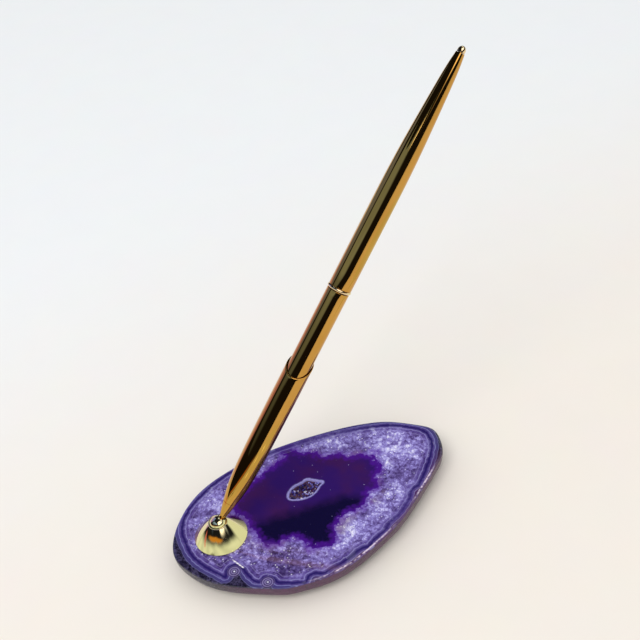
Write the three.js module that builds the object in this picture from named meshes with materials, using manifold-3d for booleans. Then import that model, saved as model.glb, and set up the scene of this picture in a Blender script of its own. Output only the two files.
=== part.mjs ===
// Desk pen standing in a ball-and-socket holder on a slice of dyed agate.
// Millimetres, +Z up. The slice's long side runs along X and the pen leans towards +X.
// The finished group stands on Z = 0 with the middle of its bounding box above the origin.

import * as THREE from 'three';
import { mergeVertices } from 'three/addons/utils/BufferGeometryUtils.js';
import Module from 'manifold-3d';

const wasm = await Module();
wasm.setup();

// ---------------------------------------------------------------- driving dimensions

const FOOT_HEIGHT = 3.2;
const SLAB_THICKNESS = 4.5;
const SLAB_TOP = FOOT_HEIGHT + SLAB_THICKNESS;
const SLAB_TOP_BEVEL = 0.35;
const STUD_HOLE_R = 1.75;

// The slice's rim in its own plane. The holder's stud goes through [0, 0].
const SLAB_RIM = [
  [-16.1, -1.6], [-15.4, 3.4], [-11.8, 10.2], [-5.0, 17.4], [2.4, 21.8], [12.4, 24.6], [23.5, 25.9],
  [34.6, 25.5], [46.0, 24.0], [57.0, 21.6], [66.6, 17.8], [74.6, 11.4], [78.3, 7.4], [79.1, 4.6],
  [78.3, -0.6], [76.4, -4.8], [71.4, -9.2], [61.6, -16.6], [51.5, -23.3], [41.2, -27.7], [31.0, -30.8],
  [23.0, -31.4], [15.4, -30.3], [10.3, -29.1], [5.2, -26.3], [-4.8, -19.6], [-10.6, -13.8], [-14.5, -7.0],
];
// The slice's side, from the underside up, as [distance inside the rim, height].
const SLAB_SIDE = [
  [0.8, 0], [0.3, 1.2], [0.05, 2.6], [0, SLAB_THICKNESS - SLAB_TOP_BEVEL], [SLAB_TOP_BEVEL, SLAB_THICKNESS],
];
const FEET = [[1.5, 15.0], [5.0, -14.5], [66.0, 7.0], [45.0, -16.5]];
const FOOT_TOP_R = 4.75;
const FOOT_BOTTOM_R = 4.1;
const FOOT_EDGE_R = 0.5;
const FOOT_RIM = 0.6;

// The open crystal pocket in the middle of the slice.
const POCKET_CENTRE = [31.0, 3.9];
const POCKET_LENGTH = 12.4;
const POCKET_WIDTH = 5.4;
const POCKET_TURN = 6;
const POCKET_DEPTH = 2.6;

// The holder, with heights above the slice's top face.
const DOME_R = 8.4;
const DOME_EDGE = 0.45;
const DOME_CHAMFER = 0.15;
const DOME_SLOPE_PULL = [5.2, 4.2];
const LIP_TOP = 6.6;
const LIP_R = 3.1;
const LIP_FACE = 0.35;
const BALL_R = 2.9;
const BALL_HEIGHT = 5.3;
const SOCKET_GAP = 0.05;
const SOCKET_R = BALL_R + SOCKET_GAP;
const SOCKET_MOUTH_RISE = 1.2;
const PLATE_R = 6.5;
const PLATE_BOTTOM = 0.1;
const PLATE_TOP = 1.2;
const PLATE_CLEARANCE = 0.05;
const STUD_R = 1.5;
const STUD_ROOT_R = 1.27;
const THREAD_PITCH = 0.5;
const WASHER_R = 3.6;
const WASHER_THICKNESS = 0.5;
const NUT_HEIGHT = 1.8;
const NUT_ACROSS_FLATS = 5.5;
const NUT_CHAMFER = 0.35;
const STUD_LENGTH = SLAB_THICKNESS + WASHER_THICKNESS + NUT_HEIGHT + 0.35;
const SPRING_BORE_R = 1.5;
const SPRING_R = 2.8;
const SPRING_HALF = 0.12;
const SPRING_MIDDLE = PLATE_TOP + 0.4;
const SPRING_RISE = 0.2;
const SPRING_WAVES = 3;
const CUP_BOTTOM = PLATE_TOP + 0.75;
const CUP_TOP = BALL_HEIGHT - 1.4;
const CUP_R = SOCKET_R - 0.08;
const CUP_HOLE_R = 1.0;

// The pen. Its own axis is local Z, and heights along it count from the swivel ball's centre.
const PEN_TILT = 42.6;
const PEN_AZIMUTH = 12.4;
const PEN_BORE_R = 1.08;
const PEN_BORE_BOTTOM = -1.9;
const PEN_BORE_FLARE = 0.25;
const NOSE_START = 0.8;
const NOSE_SPIGOT_R = 0.95;
const NOSE_SPIGOT_END = 3.1;
const NOSE_SEAM = 8.35;
const NOSE_SHANK_R = 1.75;
const NOSE_SHANK_END = 12.0;
// The nose's bore, as [radius, height]: narrow for the refill's point, wide for its body.
const NOSE_BORE = [[1.25, NOSE_SHANK_END], [1.25, 7.5], [0.6, 4.2], [0.6, NOSE_START]];
const LOWER_R = 4.03;
const MOUTH_HEIGHT = 57.9;
const MOUTH_RISE = 3.6;
const MOUTH_LOW_ANGLE = -146;
const SLANT_START = 46.8;
const LIP_HALF = 0.14;
const SLEEVE_R = 3.52;
const SLEEVE_START = 42;
const SLEEVE_END = 83.8;
const SLEEVE_BORE_R = 3.05;
const PRESS_GAP = 0.05;
// The lower barrel's bore, as [radius, height], from the sleeve's foot down to the nose's shank.
const LOWER_BORE = [
  [SLEEVE_R + PRESS_GAP, 50.5], [SLEEVE_R + PRESS_GAP, SLEEVE_START - 0.3], [3.3, SLEEVE_START - 0.3],
  [3.3, 24], [2.9, 18.5], [NOSE_SHANK_R + PRESS_GAP, 13.4],
];
const LIP_START = 51.5;
const RING_START = 83.95;
const RING_WIDTH = 1.0;
const RING_R = 3.8;
const TAIL_START = RING_START + RING_WIDTH + 0.05;
const TAIL_R = 3.59;
const TAIL_BORE_R = 3.12;
const TAIL_END = 161.2;
const CAP_R = 1.25;
const CAP_SIDE = 0.5;
const CAP_PLUG_R = 0.75;
const CAP_PLUG_START = 157.2;
const PEN_END = 163.3;

// The outside of the lower barrel and nose, as [height, radius].
const LOWER_OUTLINE = [
  [NOSE_SPIGOT_END, NOSE_SPIGOT_R], [5.7, 1.6], [NOSE_SEAM, 2.15], [11.3, 2.72], [14.2, 3.15],
  [17.5, 3.46], [22, 3.7], [30, 3.89], [42, 3.99], [SLANT_START, LOWER_R],
];
// The outside of the tail, as [height, radius].
const TAIL_OUTLINE = [
  [112, TAIL_R], [120, 3.56], [129, 3.37], [138, 3.0], [146, 2.6], [153, 2.2], [158, 1.78], [TAIL_END, 1.36],
];
// The tail's bore, as [radius, height], from the button down.
const TAIL_BORE = [[0.8, TAIL_END], [0.8, 156.5], [1.2, 155], [2.1, 142], [2.85, 129], [TAIL_BORE_R, 117]];

// The twist mechanism.
const RUNNING_GAP = 0.06;
const HOUSING_R = SLEEVE_BORE_R - 0.05;
const HOUSING_BORE_R = 2.5;
const HOUSING_START = 60;
const HOUSING_END = 83.6;
const CAM_R = HOUSING_BORE_R - RUNNING_GAP;
const CAM_BORE_R = 1.95;
const CAM_START = 61.5;
const CAM_END = 92;
const CARRIER_R = CAM_BORE_R - RUNNING_GAP;
const CARRIER_START = 62;
const CARRIER_END = 72;
const FOLLOWER_HEIGHT = 68;
const FOLLOWER_R = 0.5;
const FOLLOWER_REACH = HOUSING_R - 0.08;
const SLOT_WIDTH = 1.12;
const SLOT_SPARE_DEGREES = 20;
const RETRACTION = 5;
const TWIST = Math.PI;
const BUSHING_START = 86;
const BUSHING_END = 94;
const STEM_SOCKET_END = CARRIER_START + 3.6;

// The refill.
const WRITING_BALL_R = 0.35;
const WRITING_BALL_HEIGHT = -1.0;
const BALL_LIP_ANGLE = -52;
const INK_CHANNEL_R = 0.15;
const REFILL_R = 1.5;
const REFILL_BORE_R = 1.2;
const REFILL_SHOULDER = 12.5;
const REFILL_END = 60;
// The point's outside, as [radius, height].
const POINT_OUTLINE = [[0.5, 0.3], [0.5, 4.5], [1.1, 8], [1.1, 12.2]];
const POINT_PLUG_LENGTH = 3;
const PLUG_LENGTH = 4;
const PLUG_HEAD = 1.2;
const PLUG_STEM_R = 0.85;
const PLUG_STEM_END = CARRIER_START + 3.3;

const FINE = 48;
const ROUND = 36;
const SMALL = 24;
const TINY = 16;

// ---------------------------------------------------------------- materials

const metal = (color, roughness) => new THREE.MeshStandardMaterial({ color, roughness, metalness: 1 });
const gold = metal(0xc9952f, 0.08);
const paleGold = metal(0xd8c68a, 0.08);
const brass = metal(0xb08d4a, 0.3);
const steel = metal(0xb8bcc0, 0.25);
const nylon = new THREE.MeshStandardMaterial({ color: 0xe9e6da, roughness: 0.6, metalness: 0 });
const agate = new THREE.MeshStandardMaterial({ color: 0x5a4a9a, roughness: 0.12, metalness: 0 });
const clearRubber = new THREE.MeshStandardMaterial({ color: 0xd9dde0, roughness: 0.4, metalness: 0 });

// ---------------------------------------------------------------- shape helpers

const rad = THREE.MathUtils.degToRad;
const degrees = THREE.MathUtils.radToDeg;
const vec2 = ([x, y]) => new THREE.Vector2(x, y);

/** Turns a profile of [radius, height] points about Z. Outer sides run upwards. */
function turned(profile, segments) {
  const geometry = new THREE.LatheGeometry(profile.map(vec2), segments);
  return geometry.rotateX(Math.PI / 2);
}

/** Points of an arc about [r, z], from one angle to another in degrees. */
function arc(r, z, radius, from, to, steps) {
  return Array.from({ length: steps + 1 }, (_, i) => {
    const angle = rad(from + ((to - from) * i) / steps);
    return [r + radius * Math.cos(angle), z + radius * Math.sin(angle)];
  });
}

/** A closed ring or tube with small chamfers on its outer edges. */
function tube(outer, inner, bottom, top, segments, chamfer = 0.1) {
  return turned([
    [inner, bottom], [outer - chamfer, bottom], [outer, bottom + chamfer],
    [outer, top - chamfer], [outer - chamfer, top], [inner, top], [inner, bottom],
  ], segments);
}

/** A smooth curve through [height, radius] points, returned as [radius, height] points. */
function flowing(outline, steps) {
  return new THREE.SplineCurve(outline.map(vec2)).getPoints(steps).map((p) => [p.y, p.x]);
}

/** The same for a stretch between two heights. */
function flowingBetween(outline, low, high, steps) {
  const inside = flowing(outline, steps).filter(([, z]) => z > low + 0.05 && z < high - 0.05);
  return [[radiusAt(outline, low), low], ...inside, [radiusAt(outline, high), high]];
}

/** The radius of a smooth outline at a height. */
function radiusAt(outline, height) {
  const points = flowing(outline, 400);
  const above = points.findIndex(([, z]) => z >= height - 1e-6);
  if (above < 1) return points[0][0];
  const [r0, z0] = points[above - 1];
  const [r1, z1] = points[above];
  return r0 + ((r1 - r0) * (height - z0)) / (z1 - z0);
}

/** A profile of thread ridges with its outer side running upwards. */
function threadRidges(crest, root, bottom, top) {
  const turns = Math.floor((top - bottom) / THREAD_PITCH);
  return Array.from({ length: turns }, (_, i) => [
    [crest, bottom + (i + 0.25) * THREAD_PITCH],
    [root, bottom + (i + 0.75) * THREAD_PITCH],
  ]).flat();
}

function toManifold(geometry) {
  const bare = geometry.clone();
  bare.deleteAttribute('normal');
  bare.deleteAttribute('uv');
  const merged = mergeVertices(bare, 1e-4);
  return new wasm.Manifold(new wasm.Mesh({
    numProp: 3,
    vertProperties: new Float32Array(merged.attributes.position.array),
    triVerts: new Uint32Array(merged.index.array),
  }));
}

function toGeometry(manifold) {
  const mesh = manifold.getMesh();
  const geometry = new THREE.BufferGeometry();
  geometry.setAttribute('position', new THREE.BufferAttribute(mesh.vertProperties, 3));
  geometry.setIndex(new THREE.BufferAttribute(mesh.triVerts, 1));
  geometry.computeVertexNormals();
  return geometry;
}

/** Cuts tools out of a body. */
function cut(body, tools) {
  return toGeometry(tools.reduce((solid, tool) => solid.subtract(toManifold(tool)), toManifold(body)));
}

/** Joins bodies into one. */
function joined(bodies) {
  return toGeometry(bodies.map(toManifold).reduce((a, b) => a.add(b)));
}

function piece(name, geometry, material) {
  const mesh = new THREE.Mesh(geometry, material);
  mesh.name = name;
  return mesh;
}

// ---------------------------------------------------------------- agate slice and its feet

/** The slice is a stack of copies of its rim, drawn in at the top edge and towards the underside. */
function agateSlice() {
  const rim = new THREE.CatmullRomCurve3(SLAB_RIM.map(([x, y]) => new THREE.Vector3(x, y, 0)), true);
  const outline = rim.getSpacedPoints(120).slice(0, -1).map((p) => new THREE.Vector2(p.x, p.y)).reverse();
  const drawnIn = (inset) => outline.map((point, i) => {
    const before = outline[(i + outline.length - 1) % outline.length];
    const after = outline[(i + 1) % outline.length];
    const along = after.clone().sub(before).normalize();
    return new THREE.Vector2(point.x - along.y * inset, point.y + along.x * inset);
  });
  const body = new THREE.ExtrudeGeometry(new THREE.Shape(outline), {
    depth: SLAB_THICKNESS, steps: SLAB_SIDE.length - 1, bevelEnabled: false,
  });
  const shapes = SLAB_SIDE.map(([inset]) => drawnIn(inset));
  const position = body.attributes.position;
  for (let i = 0; i < position.count; i += 1) {
    const level = Math.round((position.getZ(i) / SLAB_THICKNESS) * (SLAB_SIDE.length - 1));
    const here = new THREE.Vector2(position.getX(i), position.getY(i));
    const index = outline.findIndex((point) => point.distanceTo(here) < 1e-3);
    position.setXYZ(i, shapes[level][index].x, shapes[level][index].y, SLAB_SIDE[level][1]);
  }
  body.translate(0, 0, FOOT_HEIGHT);

  const studHole = new THREE.CylinderGeometry(STUD_HOLE_R, STUD_HOLE_R, 4 * SLAB_TOP, SMALL);
  studHole.rotateX(Math.PI / 2);
  const pocket = new THREE.SphereGeometry(1, SMALL, 12);
  pocket.scale(POCKET_LENGTH / 2, POCKET_WIDTH / 2, POCKET_DEPTH);
  pocket.rotateZ(rad(POCKET_TURN)).translate(...POCKET_CENTRE, SLAB_TOP);
  return cut(body, [studHole, pocket]);
}

function bumperFoot() {
  return turned([
    [0, 0], [FOOT_BOTTOM_R - FOOT_EDGE_R, 0],
    ...arc(FOOT_BOTTOM_R - FOOT_EDGE_R, FOOT_EDGE_R, FOOT_EDGE_R, -60, 0, 3),
    [FOOT_TOP_R, FOOT_HEIGHT - FOOT_RIM], [FOOT_TOP_R, FOOT_HEIGHT], [0, FOOT_HEIGHT],
  ], SMALL);
}

// ---------------------------------------------------------------- holder

/** A turned brass dome. Its rolled lip keeps the ball in, and a recess below takes the base plate. */
function holderDome() {
  const slope = new THREE.QuadraticBezierCurve(
    vec2([DOME_R, DOME_EDGE]), vec2(DOME_SLOPE_PULL), vec2([LIP_R, LIP_TOP - LIP_FACE]),
  );
  const mouthAngle = degrees(Math.asin(SOCKET_MOUTH_RISE / SOCKET_R));
  const mouthR = SOCKET_R * Math.cos(rad(mouthAngle));
  const lipHalf = (LIP_R - mouthR) / 2;
  const recessR = PLATE_R + PLATE_CLEARANCE;
  const recessTop = PLATE_TOP + PLATE_CLEARANCE;
  return turned([
    [recessR, 0], [DOME_R - DOME_CHAMFER, 0], [DOME_R, DOME_CHAMFER],
    ...slope.getPoints(11).map((p) => [p.x, p.y]),
    ...arc(LIP_R - lipHalf, LIP_TOP - lipHalf, lipHalf, 0, 165, 6),
    ...arc(0, BALL_HEIGHT, SOCKET_R, mouthAngle, 0, 5),
    [SOCKET_R, recessTop], [recessR, recessTop], [recessR, 0],
  ], FINE);
}

/** The plate and stud are one piece: the plate is pressed into the dome, and the stud takes the nut. */
function basePlateStud() {
  return turned([
    [0, -STUD_LENGTH], [STUD_ROOT_R - 0.2, -STUD_LENGTH],
    ...threadRidges(STUD_R, STUD_ROOT_R, -STUD_LENGTH, -0.4),
    [STUD_ROOT_R, PLATE_BOTTOM], [PLATE_R, PLATE_BOTTOM], [PLATE_R, PLATE_TOP], [0, PLATE_TOP],
  ], SMALL);
}

/** A washer with three waves, which presses the cup up against the ball. */
function waveSpring() {
  const between = (SPRING_BORE_R + SPRING_R) / 2;
  const geometry = turned([
    [SPRING_BORE_R, -SPRING_HALF], [between, -SPRING_HALF], [SPRING_R, -SPRING_HALF],
    [SPRING_R, SPRING_HALF], [between, SPRING_HALF], [SPRING_BORE_R, SPRING_HALF],
    [SPRING_BORE_R, -SPRING_HALF],
  ], ROUND);
  const position = geometry.attributes.position;
  for (let i = 0; i < position.count; i += 1) {
    const angle = Math.atan2(position.getY(i), position.getX(i));
    position.setZ(i, SPRING_MIDDLE + position.getZ(i) + SPRING_RISE * Math.sin(SPRING_WAVES * angle));
  }
  return geometry;
}

/** The ball sits in the cup's round seat, and the refill's point has room in its hole. */
function ballCup() {
  const topAngle = degrees(Math.asin((CUP_TOP - BALL_HEIGHT) / SOCKET_R));
  const holeAngle = -degrees(Math.acos(CUP_HOLE_R / SOCKET_R));
  return turned([
    [CUP_HOLE_R, CUP_BOTTOM], [CUP_R - 0.22, CUP_BOTTOM], [CUP_R, CUP_BOTTOM + 0.2], [CUP_R, CUP_TOP],
    ...arc(0, BALL_HEIGHT, SOCKET_R, topAngle, holeAngle, 7), [CUP_HOLE_R, CUP_BOTTOM],
  ], ROUND);
}

function baseWasher() {
  return tube(WASHER_R, STUD_R + 0.1, -WASHER_THICKNESS, 0, SMALL, 0.08);
}

/** A thin hexagonal nut with chamfered corners. */
function baseNut() {
  const across = NUT_ACROSS_FLATS / Math.sqrt(3);
  const prism = new THREE.CylinderGeometry(across, across, NUT_HEIGHT, 6);
  prism.rotateX(Math.PI / 2).translate(0, 0, NUT_HEIGHT / 2);
  const corner = across * 0.9;
  const rounding = turned([
    [0, 0], [corner, 0], [across + 0.05, NUT_CHAMFER], [across + 0.05, NUT_HEIGHT - NUT_CHAMFER],
    [corner, NUT_HEIGHT], [0, NUT_HEIGHT],
  ], SMALL);
  const hole = new THREE.CylinderGeometry(STUD_R + 0.05, STUD_R + 0.05, 3 * NUT_HEIGHT, SMALL);
  const body = toGeometry(toManifold(prism).intersect(toManifold(rounding)));
  return cut(body, [hole.rotateX(Math.PI / 2)]);
}

/** A ball with a flared bore that the pen's nose stands in. */
function swivelBall() {
  const mouthR = PEN_BORE_R + PEN_BORE_FLARE;
  const mouthAngle = degrees(Math.acos(mouthR / BALL_R));
  return turned([
    ...arc(0, 0, BALL_R, -90, mouthAngle, 16),
    [PEN_BORE_R, BALL_R * Math.sin(rad(mouthAngle)) - PEN_BORE_FLARE],
    [PEN_BORE_R, PEN_BORE_BOTTOM], [0, PEN_BORE_BOTTOM],
  ], ROUND);
}

// ---------------------------------------------------------------- pen, lower half

/** The tip that stands in the ball, with a shank pressed into the lower barrel. */
function noseCone() {
  return turned([
    NOSE_BORE.at(-1), [NOSE_SPIGOT_R - 0.12, NOSE_START], [NOSE_SPIGOT_R, NOSE_START + 0.2],
    ...flowingBetween(LOWER_OUTLINE, NOSE_SPIGOT_END, NOSE_SEAM - 0.04, 36),
    [radiusAt(LOWER_OUTLINE, NOSE_SEAM) - 0.06, NOSE_SEAM],
    [NOSE_SHANK_R, NOSE_SEAM], [NOSE_SHANK_R, NOSE_SHANK_END], ...NOSE_BORE,
  ], ROUND);
}

/** Leans everything above the slant's start, so that the mouth is cut at an angle. */
function slanted(geometry) {
  const low = rad(MOUTH_LOW_ANGLE);
  const position = geometry.attributes.position;
  for (let i = 0; i < position.count; i += 1) {
    const [x, y, z] = [position.getX(i), position.getY(i), position.getZ(i)];
    const towardsLow = (x * Math.cos(low) + y * Math.sin(low)) / LOWER_R;
    const share = THREE.MathUtils.clamp((z - SLANT_START) / (MOUTH_HEIGHT - SLANT_START), 0, 1);
    position.setZ(i, z - MOUTH_RISE * towardsLow * share);
  }
  geometry.computeVertexNormals();
  return geometry;
}

/** A drawn tube that narrows to the nose, with a thin slanted lip standing clear of the sleeve. */
function lowerBarrel() {
  const foot = NOSE_SEAM + PRESS_GAP;
  const shankBore = NOSE_SHANK_R + PRESS_GAP;
  return slanted(turned([
    [shankBore, foot],
    ...flowingBetween(LOWER_OUTLINE, foot, SLANT_START, 24),
    [LOWER_R, LIP_START],
    ...arc(LOWER_R - LIP_HALF, MOUTH_HEIGHT - LIP_HALF, LIP_HALF, 0, 180, 6),
    [LOWER_R - 2 * LIP_HALF, LIP_START], ...LOWER_BORE, [shankBore, foot],
  ], ROUND));
}

function upperSleeve() {
  return tube(SLEEVE_R, SLEEVE_BORE_R, SLEEVE_START, SLEEVE_END, ROUND, 0.12);
}

// ---------------------------------------------------------------- pen, upper half

function centreRing() {
  const middle = RING_START + RING_WIDTH / 2;
  const half = RING_WIDTH / 2;
  const bore = CAM_R + PRESS_GAP;
  return turned([
    [bore, RING_START], [RING_R - half, RING_START],
    ...arc(RING_R - half, middle, half, -80, 80, 8),
    [RING_R - half, RING_START + RING_WIDTH], [bore, RING_START + RING_WIDTH], [bore, RING_START],
  ], ROUND);
}

function tailBarrel() {
  return turned([
    [TAIL_BORE_R, TAIL_START], [TAIL_R - 0.1, TAIL_START], [TAIL_R, TAIL_START + 0.1],
    ...flowing(TAIL_OUTLINE, 16), ...TAIL_BORE, [TAIL_BORE_R, TAIL_START],
  ], ROUND);
}

/** A rounded button with a plug that is pressed into the tail. */
function tailCap() {
  const base = TAIL_END + 0.08;
  const rise = PEN_END - base - CAP_SIDE;
  const crown = Array.from({ length: 6 }, (_, i) => {
    const angle = (i / 6) * (Math.PI / 2);
    return [CAP_R * Math.cos(angle), base + CAP_SIDE + rise * Math.sin(angle)];
  });
  return turned([
    [0, CAP_PLUG_START], [CAP_PLUG_R, CAP_PLUG_START], [CAP_PLUG_R, base], [CAP_R - 0.1, base],
    [CAP_R, base + 0.12], ...crown, [0, PEN_END],
  ], SMALL);
}

// ---------------------------------------------------------------- twist mechanism

/** A slot cutter: a bar bent round the pen's axis, rising by a given height over its length. */
function bentBar(fromAngle, toAngle, fromHeight, toHeight) {
  const steps = Math.round(Math.abs(toAngle - fromAngle) / rad(10));
  const slope = (toHeight - fromHeight) / ((toAngle - fromAngle) * CAM_BORE_R);
  const heightOfSlot = SLOT_WIDTH * Math.hypot(1, slope);
  const bar = new THREE.BoxGeometry(1, heightOfSlot, 2, steps, 1, 1);
  const position = bar.attributes.position;
  for (let i = 0; i < position.count; i += 1) {
    const share = position.getX(i) + 0.5;
    const angle = THREE.MathUtils.lerp(fromAngle, toAngle, share);
    const height = THREE.MathUtils.lerp(fromHeight, toHeight, share) + position.getY(i);
    const radius = CAM_R + position.getZ(i);
    position.setXYZ(i, radius * Math.cos(angle), radius * Math.sin(angle), height);
  }
  return bar;
}

/** A straight slot cutter along the pen's axis. */
function straightBar(angle, low, high) {
  const bar = new THREE.BoxGeometry(2, SLOT_WIDTH, high - low);
  return bar.translate(HOUSING_R, 0, (low + high) / 2).rotateZ(angle);
}

/** The fixed tube in the sleeve. Its two straight slots keep the carrier from turning. */
function mechanismHousing() {
  const body = tube(HOUSING_R, HOUSING_BORE_R, HOUSING_START, HOUSING_END, SMALL);
  const low = FOLLOWER_HEIGHT - SLOT_WIDTH / 2;
  const high = FOLLOWER_HEIGHT + RETRACTION + SLOT_WIDTH / 2;
  return cut(body, [straightBar(0, low, high), straightBar(Math.PI, low, high)]);
}

/** The tube that turns with the tail. Its two helical slots drive the carrier's followers. */
function twistCam() {
  const body = tube(CAM_R, CAM_BORE_R, CAM_START, CAM_END, SMALL);
  const spare = rad(SLOT_SPARE_DEGREES);
  const rise = (RETRACTION * spare) / TWIST;
  const slots = [0, Math.PI].map((start) => bentBar(
    start - TWIST - spare, start + spare, FOLLOWER_HEIGHT + RETRACTION + rise, FOLLOWER_HEIGHT - rise,
  ));
  return cut(body, slots);
}

/** Pressed into the tail barrel, it grips the top of the cam. */
function driveBushing() {
  return tube(TAIL_BORE_R - PRESS_GAP, CAM_R + PRESS_GAP, BUSHING_START, BUSHING_END, SMALL);
}

/** A rod with a socket for the refill's stem and two followers that reach through both tubes. */
function refillCarrier() {
  const socketR = PLUG_STEM_R + PRESS_GAP;
  const rod = turned([
    [socketR, CARRIER_START], [CARRIER_R - 0.1, CARRIER_START], [CARRIER_R, CARRIER_START + 0.1],
    [CARRIER_R, CARRIER_END - 0.3], [CARRIER_R - 0.3, CARRIER_END], [0, CARRIER_END],
    [0, STEM_SOCKET_END], [socketR, STEM_SOCKET_END], [socketR, CARRIER_START],
  ], SMALL);
  const follower = new THREE.CylinderGeometry(FOLLOWER_R, FOLLOWER_R, 2 * FOLLOWER_REACH, TINY);
  follower.rotateZ(Math.PI / 2).translate(0, 0, FOLLOWER_HEIGHT);
  return joined([rod, follower]);
}

// ---------------------------------------------------------------- refill

/** The brass point. A socket at its end holds the writing ball, and an ink channel runs through it. */
function refillTip() {
  const socketR = WRITING_BALL_R + 0.03;
  const channelAngle = degrees(Math.acos(INK_CHANNEL_R / socketR));
  const socket = arc(0, WRITING_BALL_HEIGHT, socketR, channelAngle, BALL_LIP_ANGLE, 6);
  const [lipR, lipHeight] = socket.at(-1);
  const plugR = REFILL_BORE_R - PRESS_GAP;
  const plugEnd = REFILL_SHOULDER + POINT_PLUG_LENGTH;
  return turned([
    ...socket, [lipR + 0.06, lipHeight], ...POINT_OUTLINE,
    [REFILL_R, REFILL_SHOULDER - 0.2], [REFILL_R, REFILL_SHOULDER], [plugR, REFILL_SHOULDER],
    [plugR, plugEnd], [INK_CHANNEL_R, plugEnd], socket[0],
  ], SMALL);
}

function refillTube() {
  return tube(REFILL_R, REFILL_BORE_R, REFILL_SHOULDER + PRESS_GAP, REFILL_END, SMALL, 0.05);
}

/** The plug that closes the refill's back end. Its stem fits the carrier. */
function refillPlug() {
  const head = REFILL_END + PRESS_GAP;
  const inTube = REFILL_BORE_R - PRESS_GAP;
  return turned([
    [0, REFILL_END - PLUG_LENGTH], [inTube, REFILL_END - PLUG_LENGTH], [inTube, head],
    [REFILL_R, head], [REFILL_R, head + PLUG_HEAD], [PLUG_STEM_R, head + PLUG_HEAD + 0.3],
    [PLUG_STEM_R, PLUG_STEM_END], [0, PLUG_STEM_END],
  ], SMALL);
}

// ---------------------------------------------------------------- assembly

function stand() {
  const group = new THREE.Group();
  group.add(piece('agate_slice', agateSlice(), agate));
  FEET.forEach(([x, y], i) => {
    const foot = piece(`bumper_foot_${i + 1}`, bumperFoot(), clearRubber);
    foot.position.set(x, y, 0);
    group.add(foot);
  });

  const onSlice = new THREE.Group();
  onSlice.position.z = SLAB_TOP;
  onSlice.add(
    piece('holder_dome', holderDome(), paleGold),
    piece('base_plate_stud', basePlateStud(), brass),
    piece('wave_spring', waveSpring(), steel),
    piece('ball_cup', ballCup(), nylon),
  );

  const underSlice = new THREE.Group();
  underSlice.position.z = FOOT_HEIGHT;
  const washer = piece('base_washer', baseWasher(), brass);
  const nut = piece('base_nut', baseNut(), steel);
  nut.position.z = -WASHER_THICKNESS - NUT_HEIGHT;
  underSlice.add(washer, nut);

  group.add(onSlice, underSlice);
  return group;
}

/** The ball and the whole pen, leaning together about the ball's centre. */
function leaningPen() {
  const pen = new THREE.Group();
  pen.add(
    piece('swivel_ball', swivelBall(), paleGold),
    piece('nose_cone', noseCone(), gold),
    piece('lower_barrel', lowerBarrel(), gold),
    piece('upper_sleeve', upperSleeve(), gold),
    piece('mechanism_housing', mechanismHousing(), brass),
    piece('centre_ring', centreRing(), gold),
    piece('tail_barrel', tailBarrel(), gold),
    piece('tail_cap', tailCap(), gold),
    piece('drive_bushing', driveBushing(), brass),
    piece('twist_cam', twistCam(), brass),
    piece('refill_carrier', refillCarrier(), nylon),
    piece('refill_tip', refillTip(), brass),
    piece('refill_tube', refillTube(), steel),
    piece('refill_plug', refillPlug(), nylon),
  );
  const writingBall = piece('writing_ball', new THREE.SphereGeometry(WRITING_BALL_R, TINY, 10), steel);
  writingBall.position.z = WRITING_BALL_HEIGHT;
  pen.add(writingBall);
  pen.position.z = SLAB_TOP + BALL_HEIGHT;
  pen.rotation.set(0, rad(PEN_TILT), rad(PEN_AZIMUTH), 'ZYX');
  return pen;
}

const model = new THREE.Group();
model.add(stand(), leaningPen());
model.updateMatrixWorld(true);

const middle = new THREE.Box3().setFromObject(model, true).getCenter(new THREE.Vector3());
model.position.set(-middle.x, -middle.y, 0);

export default model;
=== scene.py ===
"""A gold desk pen that leans in a swivel holder on a polished slice of dyed agate.

Every piece is built in millimetres, in the slice's own frame: the holder's axis is at x = y = 0 and
the floor at z = 0. place() then moves it into the row frame, in metres.
"""

import math
import random

import bpy
import numpy as np
from mathutils import Matrix, Vector, noise


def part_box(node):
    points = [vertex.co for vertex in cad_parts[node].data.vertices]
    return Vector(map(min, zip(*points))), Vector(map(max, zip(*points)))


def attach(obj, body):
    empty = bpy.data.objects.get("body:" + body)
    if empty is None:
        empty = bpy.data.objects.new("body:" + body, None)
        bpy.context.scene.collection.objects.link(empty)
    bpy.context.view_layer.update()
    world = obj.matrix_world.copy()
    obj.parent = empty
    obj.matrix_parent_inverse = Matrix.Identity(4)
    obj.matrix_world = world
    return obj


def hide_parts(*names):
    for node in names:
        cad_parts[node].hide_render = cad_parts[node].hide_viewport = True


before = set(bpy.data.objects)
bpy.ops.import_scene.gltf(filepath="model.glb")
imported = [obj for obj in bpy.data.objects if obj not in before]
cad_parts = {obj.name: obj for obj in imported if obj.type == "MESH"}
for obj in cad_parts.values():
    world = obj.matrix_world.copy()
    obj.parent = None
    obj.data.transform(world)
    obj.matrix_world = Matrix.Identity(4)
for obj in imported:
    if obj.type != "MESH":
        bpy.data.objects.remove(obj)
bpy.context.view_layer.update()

MM = 0.001
dome_low, dome_high = (Vector(corner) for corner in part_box("holder_dome"))
slice_low, slice_high = (Vector(corner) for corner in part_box("agate_slice"))
AXIS_X = (dome_low.x + dome_high.x) / 2
AXIS_Y = (dome_low.y + dome_high.y) / 2
SLAB_BOTTOM = slice_low.z / MM
SLAB_TOP = slice_high.z / MM
SLAB_THICKNESS = SLAB_TOP - SLAB_BOTTOM
ROW = Matrix.Translation((AXIS_X, AXIS_Y, 0)) @ Matrix.Diagonal((MM, MM, MM, 1))

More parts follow.
